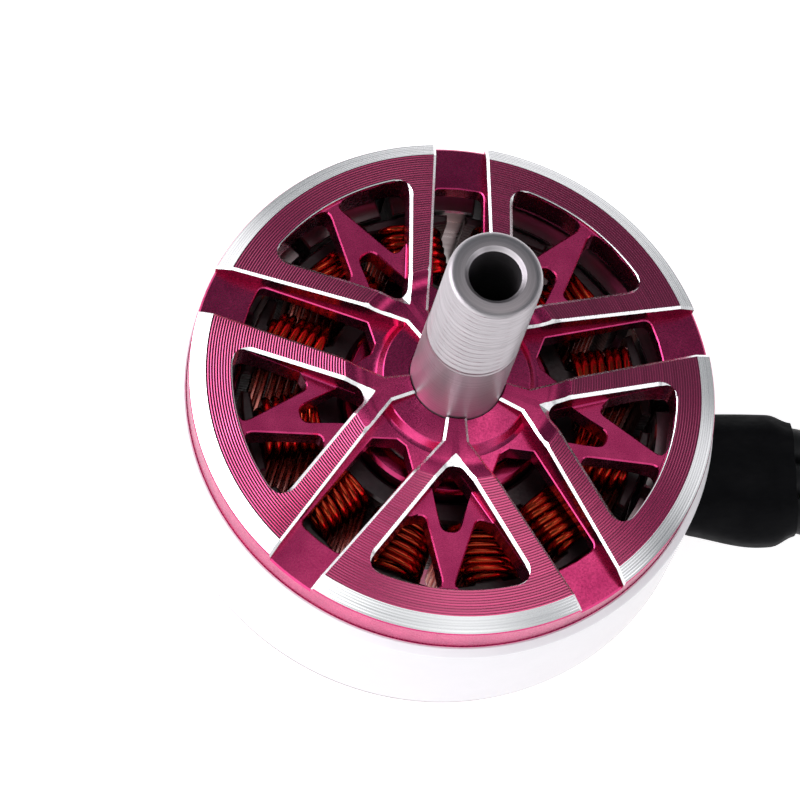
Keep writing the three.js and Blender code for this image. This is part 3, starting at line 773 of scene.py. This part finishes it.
def web_holes():
    """The openings that leave a Y-shaped web: a teardrop and a triangle on either side."""
    across = WINDOW_SIDE + HOLE_GAP

    def side(x):
        return math.tan(HALF_PETAL) * x - across / math.cos(HALF_PETAL)

    wide_x, tip_x, tip_y = 6.2, 8.5, 0.42
    teardrop = rounded([
        (across / math.sin(HALF_PETAL), 0, 0.5),
        (wide_x, -side(wide_x), 0.12),
        (tip_x, -tip_y, 0.46),
        (tip_x, tip_y, 0.46),
        (wide_x, side(wide_x), 0.12),
    ])
    top, leg_y, stem = 7.66, 1.36, 0.2
    radius = WINDOW_R - HOLE_GAP
    corner = from_channel(math.sqrt(radius ** 2 - across ** 2), across)
    start, end = math.asin(stem / radius), math.atan2(corner.y, corner.x)
    rim = arc((0, 0), radius, start, end, 3)
    corners = [(top + 0.2, side(top + 0.2), 0.2), (top, leg_y, 0.4)]
    corners += [(p.x, p.y, r) for p, r in zip(rim, [0.5, 0, 0, 0.62])]
    upper = rounded(corners)
    return [teardrop, upper, mirror(upper)]


def in_window(point):
    """Whether a point on the web is clear of the cove along the window's walls."""
    across = point.x * math.sin(HALF_PETAL) - abs(point.y) * math.cos(HALF_PETAL)
    return across > WINDOW_SIDE + FOOT and point.length < WINDOW_R - FOOT


def web_cutter(outline):
    """A hole through the web. Its edge is broken where it borders on the web, not on the window's wall."""
    flared = [g if in_window(g) else p for p, g in zip(outline, grow(outline, EDGE_OVER * WEB_EDGE))]
    sections = [
        lift(outline, PLATE_UNDER - 2),
        lift(outline, WEB_TOP - WEB_EDGE),
        lift(flared, WEB_TOP + 0.5 * WEB_EDGE),
        lift(flared, WEB_TOP + FOOT + 0.2),
    ]
    return loft(sections, [SATIN] * 3, cap_finish, caps=(SATIN, SATIN))


def channel_cutters():
    """Everything above the channels' floors."""
    far = RIM_R + 2
    slope = (CHANNEL_HALF_HUB - CHANNEL_HALF_RIM) / (CONE_R - CHANNEL_BEND)
    stops = [(far - CHANNEL_BEND) * t for t in fractions(30)]
    side = [Vector(CHANNEL_END)]
    side += [Vector((CHANNEL_BEND + stop, CHANNEL_HALF_HUB - slope * stop)) for stop in stops]
    plan = mirror(side)[::-1] + side[::-1]
    cutter = edge_cutter(plan, grow(plan, EDGE_OVER * CHANNEL_EDGE), FLOOR_RIM - 3, cone_height)
    top, low = HUB_SLOPE
    above = HUB_TOP + 4
    inside = 1.0
    foot = HUB_STEP + HUB_RAMP
    room = [
        (inside, top, SATIN),
        (SHAFT_R, top, SATIN),
        (HUB_STEP - 0.06, low + 0.02, SATIN),
        (HUB_STEP, low - 0.02, SATIN),
        (foot - 0.1, floor_height(foot) + 0.09, SATIN),
        (foot, floor_height(foot) + 0.03, SATIN),
        (foot + 0.12, floor_height(foot + 0.12), SATIN),
        (RIM_R - 0.12, floor_height(RIM_R - 0.12), SATIN),
        (RIM_R + 0.1, floor_height(RIM_R) - 0.2, SATIN),
        (far + 2, floor_height(RIM_R) - 1.2, SATIN),
        (far + 2, above, SATIN),
        (inside, above, SATIN),
    ]
    return combine(copies(cutter, PETALS), "INTERSECT", revolve(room, TURN_STEPS, cap_finish))


def slot_cutter():
    """The slot through a channel's floor, pointed towards the hub."""
    side = math.sqrt(SLOT_OUTER ** 2 - SLOT_HALF ** 2)
    shoulder, tip_x, tip_half = 5.42, 4.64, 0.3
    outline = rounded([
        (tip_x, -tip_half, 0.15),
        (shoulder, -SLOT_HALF, 0.15),
        (side, -SLOT_HALF, 0.42),
        (SLOT_OUTER, 0, 0),
        (side, SLOT_HALF, 0.42),
        (shoulder, SLOT_HALF, 0.15),
        (tip_x, tip_half, 0.15),
    ])
    flared = grow(outline, EDGE_OVER * SLOT_EDGE)
    return edge_cutter(outline, flared, PLATE_UNDER - 3, floor_height, side=SATIN)


def bell_cap():
    """The turned cap with everything that is milled out of it."""
    windows = [copies(cutter, PETALS, HALF_PETAL) for cutter in window_cutters()]
    holes = [copies(web_cutter(outline), PETALS, HALF_PETAL) for outline in web_holes()]
    slots = copies(slot_cutter(), PETALS)
    cap = combine(cap_blank(), "DIFFERENCE", *windows, *holes, channel_cutters(), slots)
    return place(cap, math.radians(CHANNEL_ANGLE))


piece("bell_cap_turned", bell_cap(), "rotor", "bell_anodised", "bell_cap", sharp=11)


# ---- flux ring and magnets ---------------------------------------------------
def flux_ring():
    """Steel ring, coated white, with painted shade in the dark steel band at its foot and painted light on
    its top bevel.
    """
    outer, inner = RING_HIGH.x, 12.95
    low, high = RING_LOW.z, RING_HIGH.z
    foot_shade, bevel = 0.3, 0.42
    corners = [
        (inner, low, 0.08),
        (outer - 0.05, low, 0.2),
        (outer - 0.05, low + foot_shade, 0),
        (outer, low + foot_shade + 0.05, 0.04),
        (outer, high - bevel, 0.2),
        (RIM_R + 0.03, high, 0.06),
        (inner, high, 0.0),
    ]
    side, steel, edge = range(3)

    def material(p):
        # the inside and the band at the foot take dark steel; on the foot band that darkness is painted
        # shade, the shadow line along the ring's foot
        if p.x < RIM_R - 0.05 or p.y < low + foot_shade - 0.01:
            return steel
        # the top bevel takes the lighter copy of the coat, painted light over the shade there
        return edge if p.y > high - bevel - 0.03 else side

    profile = [(p.x, p.y, material(p)) for p in rounded(corners, 6)]
    return revolve(profile, TURN_STEPS, [WHITE, DARK_STEEL_AND_SHADE, WHITE_PAINTED_LIGHT])


piece("flux_ring_coated", flux_ring(), "rotor", "flux_ring_coat", "flux_ring")


def magnet():
    """An arc-shaped magnet with broken edges."""
    inner, outer, middle, half, bevel = 11.3, 12.65, 12, math.radians(11.2), 0.1
    low, high = extent("magnet_01")[0].z, extent("magnet_01")[1].z

    def outline(inset):
        turn = half - inset / middle
        return arc((0, 0), outer - inset, -turn, turn, 10) + arc((0, 0), inner + inset, turn, -turn, 10)

    sections = [
        lift(outline(bevel), low),
        lift(outline(0), low + bevel),
        lift(outline(0), high - bevel),
        lift(outline(bevel), high),
    ]
    return loft(sections)


def numbered(start):
    """The CAD nodes whose names start so, in order."""
    return sorted(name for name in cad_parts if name.startswith(start))


magnets = numbered("magnet_")
for node, angle in zip(magnets, circle(len(magnets))):
    mesh = place(magnet(), angle + math.radians(CHANNEL_ANGLE))
    piece(f"{node}_plated", mesh, "rotor", "magnet_plating", node, finish=NICKEL)


# ---- shaft and what is on it -------------------------------------------------
def shaft():
    """Hollow shaft with a real helical thread above, and chamfers at the top of the bore and outside."""
    top, low, step = SHAFT_HIGH.z, SHAFT_LOW.z, RIM_TOP - 0.25
    around, rows_per_turn = 120, 14
    crown, bore_bevel = 0.5, 0.22
    flank_slope, flat_crest, run_in = 1.15, 0.05, 0.8 * THREAD_PITCH
    sections = []

    def ring(radius_at, height):
        radii = [(radius_at(angle), angle) for angle in circle(around)]
        sections.append([(radius * math.cos(a), radius * math.sin(a), height) for radius, a in radii])

    def thread_radius(angle, height):
        turns = (height - THREAD_START) / THREAD_PITCH - angle / (2 * math.pi)
        flank = abs(turns % 1.0 - 0.5) * 2
        depth = THREAD_DEPTH * min(1.0, max(0.0, flank_slope * (1 - flank) - flat_crest))
        start = smooth((height - THREAD_START) / run_in)
        edge = max(0.0, 1 - (top - height) / crown)
        return SHAFT_R - max((THREAD_INSET + depth) * start, crown * (1 - math.sqrt(1 - edge ** 2)))

    for radius, height in [
        (BORE_R, low), (1.85, low), (JOURNAL_R, low + 0.15), (JOURNAL_R, step), (SHAFT_R, step),
        (SHAFT_R, THREAD_START),
    ]:
        ring(lambda angle: radius, height)
    plain = len(sections) - 1
    rows = round((top - THREAD_START) / THREAD_PITCH * rows_per_turn)
    for t in fractions(rows)[1:]:
        height = THREAD_START + (top - THREAD_START) * t
        ring(lambda angle: thread_radius(angle, height), height)
    ring(lambda angle: BORE_R + bore_bevel, top)
    ring(lambda angle: BORE_R, top - bore_bevel)
    return loft(sections, [0] * plain + [1] * (len(sections) - plain), SHAFT_FINISH, closed=True)


piece("shaft_threaded", shaft(), "rotor", "shaft_metal", "shaft", sharp=25)


def washer(node, inner):
    low, high = extent(node)
    corners = [(inner, low.z, 0.05), (high.x, low.z, 0.08), (high.x, high.z, 0.08), (inner, high.z, 0.05)]
    return revolve(eased(corners), 96)


for node, inner in (("shim_washer", 2.05), ("retaining_washer", BORE_R)):
    piece(f"{node}_ground", washer(node, inner), "rotor", "bearing_steel", node, finish=STEEL)


def retaining_screw():
    """Socket-head screw seen from below: a domed head with a hexagonal socket."""
    low, high = extent("retaining_screw")
    head_top, socket_top, socket_r, flare, axis = 1.45, low.z + 0.78, 0.95, 0.12, 0.02
    thread = BORE_R - 0.05
    body = revolve(eased([
        (axis, low.z, 0), (high.x, low.z, 0.3), (high.x, head_top, 0.06), (thread, head_top, 0),
        (thread, high.z, 0.15), (axis, high.z, 0),
    ], steps=5), 96)
    hexagon = ring_outline(0, socket_r, 6)
    socket = loft([
        lift(grow(hexagon, flare), low.z - 0.1),
        lift(grow(hexagon, flare), low.z - 0.02),
        lift(hexagon, low.z + flare - 0.02),
        lift(hexagon, socket_top),
    ])
    return combine(body, "DIFFERENCE", socket)


screw = retaining_screw()
piece("retaining_screw_socket", screw, "rotor", "bearing_steel", "retaining_screw", finish=DARK_STEEL_AND_SHADE)


# ---- bearings ----------------------------------------------------------------
def both_halves(half, middle):
    """A profile given from one end to its middle height, then back to the other end."""
    return [(x, middle + z, r) for x, z, r in half] + [(x, middle - z, r) for x, z, r in half[::-1]]


def bearing(place_name):
    """One bearing's inner race, its outer race with two shields, and its balls in their cage."""
    low, high = extent(f"bearing_{place_name}_outer_race")
    end, middle = (high.z - low.z) / 2, (low.z + high.z) / 2
    inside, inner_land, outer_land, outside = 2.05, 2.55, 3.95, 4.5  # radii
    track_depth, track_half, track_flat = 0.08, 0.68, 0.3
    shield_in, shield = 2.7, 0.12
    inner = [
        (inside, -end, 0.12), (inner_land, -end, 0.06), (inner_land, -track_half, 0),
        (inner_land - track_depth, -track_flat, 0),
    ]
    outer = [
        (outside, end, 0.15), (outer_land, end, 0.06), (outer_land, end - shield, 0),
        (shield_in, end - shield, 0.04), (shield_in, end - 2 * shield, 0.04),
        (outer_land, end - 2 * shield, 0), (outer_land, track_half, 0),
        (outer_land + track_depth, track_flat, 0),
    ]
    name = f"bearing_{place_name}"
    for race, half, body in (("inner", inner, "rotor"), ("outer", outer, "stator")):
        mesh = revolve(eased(both_halves(half, middle)), 128)
        piece(f"{name}_{race}_ground", mesh, body, "bearing_steel", f"{name}_{race}_race", finish=STEEL)
    cage, balls = ball_cage(middle), f"{place_name}_balls"
    piece(f"{name}_balls_caged", cage, balls, "bearing_cage", f"{name}_ball_cage")


def ball_cage(middle):
    """Seven balls in a cage that widens round each of them."""
    balls, pitch, ball_r = 7, 3.25, 0.62
    around, stations = 24, 14
    sections = []
    for i in range(1, stations):
        tilt = math.pi * i / stations
        outline = ring_outline(pitch, ball_r * math.sin(tilt), around)
        sections.append(lift(outline, middle + ball_r * math.cos(tilt)))
    sphere = loft(sections, [1] * (stations - 2), [BRASS, STEEL], caps=(1, 1))
    cage_half, cage_height, cage_swell = 0.14, 0.8, 0.14
    loop = [(-cage_half, -0.5), (cage_half, -0.5), (cage_half, 0.5), (-cage_half, 0.5)]
    rings = []
    for angle in circle(balls * 16):
        height = cage_height + cage_swell * max(0.0, math.cos(balls * angle))
        rings.append([((pitch + dr) * math.cos(angle), (pitch + dr) * math.sin(angle), middle + dz * height)
                      for dr, dz in loop])
    hoop = loft(rings, [0] * len(rings), [BRASS, STEEL], closed=True)
    return combine(hoop, "UNION", copies(sphere, balls))


bearing("lower")
bearing("upper")


# ---- stator ------------------------------------------------------------------
def stator_outline(inset):
    """Twelve teeth with pole shoes, anticlockwise."""
    shoe, half = math.radians(12.4), TOOTH_HALF - inset
    tip_r, heel_r = STATOR_R - inset, STATOR_R - 0.5 + inset
    tooth = [
        (YOKE_R - inset, -half - 0.15, 0),
        (YOKE_R + 0.2, -half, 0),
        (10.3 + inset, -half, 0.15),
        (heel_r * math.cos(shoe), -heel_r * math.sin(shoe) + inset, 0),
        (tip_r * math.cos(shoe), -tip_r * math.sin(shoe) + inset, 0),
        (tip_r * math.cos(shoe / 2), -tip_r * math.sin(shoe / 2), 0),
    ]
    tooth += [(tip_r, 0, 0)] + [(x, -y, r) for x, y, r in tooth[::-1]]
    outline = []
    for angle in circle(TEETH):
        c, d = math.cos(angle), math.sin(angle)
        outline += [(x * c - y * d, x * d + y * c, r) for x, y, r in tooth]
    return rounded(outline, 3)


def stator_core():
    """The stack of laminations, its outside showing them as fine lines under the coat."""
    low, high = STACK
    sheets, bevel, line, line_half = 20, 0.12, 0.02, 0.03
    sections = [lift(stator_outline(bevel), low), lift(stator_outline(0), low + bevel)]
    for i in range(1, sheets):
        height = low + (high - low) * i / sheets
        for dz, inset in ((-line_half, 0.0), (0.0, line), (line_half, 0.0)):
            sections.append(lift(stator_outline(inset), height + dz))
    sections += [lift(stator_outline(0), high - bevel), lift(stator_outline(bevel), high)]
    inner = TUBE_R + 0.08
    mouth = inner + 0.3
    bore = revolve([
        (0.5, low - 1, 0), (mouth, low - 1, 0), (mouth, low, 0), (inner, low + 0.2, 0),
        (inner, high - 0.2, 0), (mouth, high + 0.1, 0), (mouth, high + 1, 0), (0.5, high + 1, 0),
    ], 144)
    return place(combine(loft(sections), "DIFFERENCE", bore), math.radians(STATOR_ANGLE))


piece("stator_core_laminated", stator_core(), "stator", "stator_coat", "stator_core", finish=STATOR_COAT)


def coil_route(number):
    """Wire wound round a tooth in two layers, stepping one pitch at the top of each turn."""
    middle = sum(STACK) / 2
    gap, layer_step = 0.07, 0.47
    half_y = TOOTH_HALF + gap + ENAMEL_R
    half_z = (STACK[1] - STACK[0]) / 2 + gap + ENAMEL_R
    points = []
    for turn in range(2 * COIL_TURNS):
        layer, index = divmod(turn, COIL_TURNS)
        a, b = half_y + layer_step * layer, half_z + layer_step * layer
        corner = 0.72 + 0.35 * layer
        way = 1 if layer == 0 else -1
        last = index == COIL_TURNS - 1
        start = COIL_FIRST + COIL_PITCH * (index if layer == 0 else COIL_TURNS - 1 - index)
        wobble = 0.035 * math.sin(2.3 * turn + 1.7 * number)
        loop = rounded([(a, -b, corner), (a, b, corner), (-a, b, corner), (-a, -b, corner)], 4)
        for i, p in enumerate(loop):
            over_top = 1.0 if i > len(loop) / 2 else 0.0
            if p.y > 0:
                over_top = min(max((a - p.x) / (2 * a), 0.0), 1.0)
            bow = 0.05 * math.cos(math.pi * p.x / (2 * a)) if abs(p.y) > b - 0.1 else 0.0
            x = start + way * COIL_PITCH * over_top * (0.0 if last else 1.0) + wobble
            points.append((x, p.x, middle + p.y + math.copysign(bow, p.y)))
    return points


for i, node in enumerate(numbered("coil_")):
    rotation = Matrix.Rotation(math.radians(STATOR_ANGLE + 360 / TEETH * i), 3, "Z")
    route = [rotation @ Vector(point) for point in coil_route(i)]
    name = f"{node}_winding"
    strand(name, route, ENAMEL_R, "stator", "coil_enamel", node, finish=ENAMEL, kind="POLY", sides=2)


# ---- mounting base -----------------------------------------------------------
def mount_base():
    """Bearing tube, four arms with bolt holes, dish-shaped rim and the leads' window."""
    bore, stop, foot_bore, foot_r = 4.55, 3.95, 3.4, 6.3
    seats = [1.95, 6.05, 9.95]  # lower bearing's foot and top, and upper bearing's foot
    tube = revolve(eased([
        (foot_bore, 0, 0.15), (foot_r, 0, 0.15), (foot_r, seats[1], 0.15), (TUBE_R, seats[1], 0),
        (TUBE_R, TUBE_TOP - 0.2, 0.04), (TUBE_R - 0.2, TUBE_TOP, 0.04), (bore, TUBE_TOP, 0.1),
        (bore, seats[2], 0), (stop, seats[2], 0.05), (stop, seats[1], 0.05), (bore, seats[1], 0),
        (bore, seats[0], 0), (foot_bore, seats[0], 0.05),
    ]), 160)
    arm_top, dish_in, dish_out, dish_top = 2.4, 10.3, 13.5, 5.3
    dish = revolve(eased([
        (dish_in, 0, 0.12), (11.2, 0, 0.25), (12.3, 2.0, 0.8), (dish_out, 4.4, 0.4),
        (dish_out, dish_top, 0.12), (dish_out - 1, dish_top, 0.1), (dish_out - 1, 4.5, 0.3),
        (11.5, arm_top, 0.3), (dish_in, arm_top, 0.15),
    ], steps=5), 200)
    arms, bolt, bevel = 4, 8.0, 0.14
    bolt_r, mouth = 1.5, 0.2

    def arm_outline(inset):
        half = [(5.7, 2.2, 0), (6.4, 2.25, 0.4), (bolt, 2.9, 1.2), (9.9, 2.45, 0.5), (10.9, 2.3, 0)]
        corners = [(x, y - inset, r) for x, y, r in half[::-1]] + [(x, inset - y, r) for x, y, r in half]
        return rounded(corners, 6)

    arm = loft([
        lift(arm_outline(bevel), 0), lift(arm_outline(0), bevel),
        lift(arm_outline(0), arm_top - bevel), lift(arm_outline(bevel), arm_top),
    ])
    stations = [(bolt_r + 2 * mouth, -mouth), (bolt_r + mouth, 0), (bolt_r, mouth)]
    stations += [(radius, arm_top - height) for radius, height in stations[::-1]]
    hole = loft([lift(ring_outline(bolt, radius, 32), height) for radius, height in stations])
    half, low, high, corner = 3.3, 2.35, 4.5, 0.7
    sides = [(-half, low), (half, low), (half, high), (-half, high)]
    section = rounded([(y, z, corner) for y, z in sides])
    window = loft([[(x, p.x, p.y) for p in section] for x in (WIRE_START, 15.0)])
    turn = math.pi / arms
    body = combine(tube, "UNION", dish, copies(arm, arms, turn))
    return combine(body, "DIFFERENCE", copies(hole, arms, turn), window)


piece("mount_base_turned", mount_base(), "stator", "base_anodised", "mount_base", finish=BASE_FINISH)


# ---- studio ------------------------------------------------------------------
FLOOR_GLOW = [0.8, 0.25]  # how strongly the floor shines near the motor and far from it
GLOW_CENTER = [-150, -100]
GLOW_R = [225, 380]  # distances from that centre between which the glow fades


def add_floor():
    """A light table: a pale matt sheet, lit a little from beneath, so that shadows stay faint."""
    finish = Finish("floor", (0.8, 0.8, 0.8), 0.0, 0.7, **{"Emission Color": (1, 1, 1, 1)})
    away = finish.node("ShaderNodeVectorMath", operation="DISTANCE")
    away.inputs[1].default_value = (*GLOW_CENTER, 0)
    finish.link(finish.place(), away.inputs[0])
    glow = finish.spread(away.outputs["Value"], *FLOOR_GLOW, *GLOW_R)
    finish.link(glow, finish.shader.inputs["Emission Strength"])
    mesh = bpy.data.meshes.new("floor")
    half = 1.5  # metres
    corners = [(-half, -half, 0), (half, -half, 0), (half, half, 0), (-half, half, 0)]
    mesh.from_pydata(corners, [], [(0, 1, 2, 3)])
    mesh.materials.append(finish.material)
    floor = link(mesh)
    floor.location.z = -0.02 * MM  # just clear of the mounting face


# the studio round the motor: azimuth and elevation of a soft light, its half width and the width of its soft
# edge, all in degrees, and its strength and colour
SOFT_LIGHTS = [
    (-138, 26, 17, 14, 1.6, (1.0, 1.0, 1.0)),
    (-92, 24, 14, 20, 0.8, (1.0, 1.0, 1.0)),
    (-36, 19, 11, 9, 1.3, (1.0, 0.98, 1.0)),
    (-62, 50, 10, 12, 0.5, (1.0, 1.0, 1.0)),
    (3, 9, 8, 10, 0.7, (1.0, 0.98, 1.0)),
    (136, 4, 13, 12, 1.1, (1.0, 0.98, 1.0)),
    (157, 26, 12, 8, 4.2, (0.98, 0.95, 1.0)),
    (186, 34, 11, 8, 4.2, (0.98, 0.95, 1.0)),
    (37, 75.5, 9.5, 4.5, 1.38, (1.0, 0.92, 0.92)),
]
# brightness of the walls at the horizon and a little above it, and of the ceiling, which has a tint
HORIZON = 0.3
WALL = 0.36
OVERHEAD = 0.13
OVERHEAD_TINT = (0.9, 1.02, 1.1)


def add_world():
    """Dark overhead, bright low down, with soft lights let into it."""
    world = bpy.data.worlds.new("studio")
    world.use_nodes = True
    studio = Nodes(world.node_tree)
    view = studio.node("ShaderNodeTexCoord").outputs["Generated"]
    height = studio.node("ShaderNodeSeparateXYZ")
    studio.link(view, height.inputs["Vector"])

    def add(light, color, value, *limits):
        """The light with the colour added to it, as bright as the value's spread."""
        node = studio.node("ShaderNodeVectorMath", operation="MULTIPLY_ADD")
        studio.link(studio.spread(value, *limits, "SMOOTHSTEP"), node.inputs[0])
        node.inputs[1].default_value = color
        studio.link(light, node.inputs[2])
        return node.outputs["Vector"]

    ceiling = studio.node("ShaderNodeCombineXYZ")
    studio.set(ceiling, **{axis: OVERHEAD * tint for axis, tint in zip("XYZ", OVERHEAD_TINT)})
    light = add(ceiling.outputs["Vector"], (1, 1, 1), height.outputs["Z"], WALL - OVERHEAD, 0, 0.25, 0.6)
    light = add(light, (1, 1, 1), height.outputs["Z"], HORIZON - WALL, 0, 0.03, 0.17)
    for azimuth, elevation, width, edge, strength, color in SOFT_LIGHTS:
        toward = studio.node("ShaderNodeVectorMath", operation="DOT_PRODUCT")
        toward.inputs[1].default_value = direction(azimuth, elevation)
        studio.link(view, toward.inputs[0])
        outside, inside = (math.cos(math.radians(angle)) for angle in (width + edge, width))
        light = add(light, color, toward.outputs["Value"], 0, strength, outside, inside)
    studio.link(light, studio.tree.nodes["Background"].inputs["Color"])
    scene.world = world


add_floor()
add_world()
scene.view_settings.view_transform = "Standard"
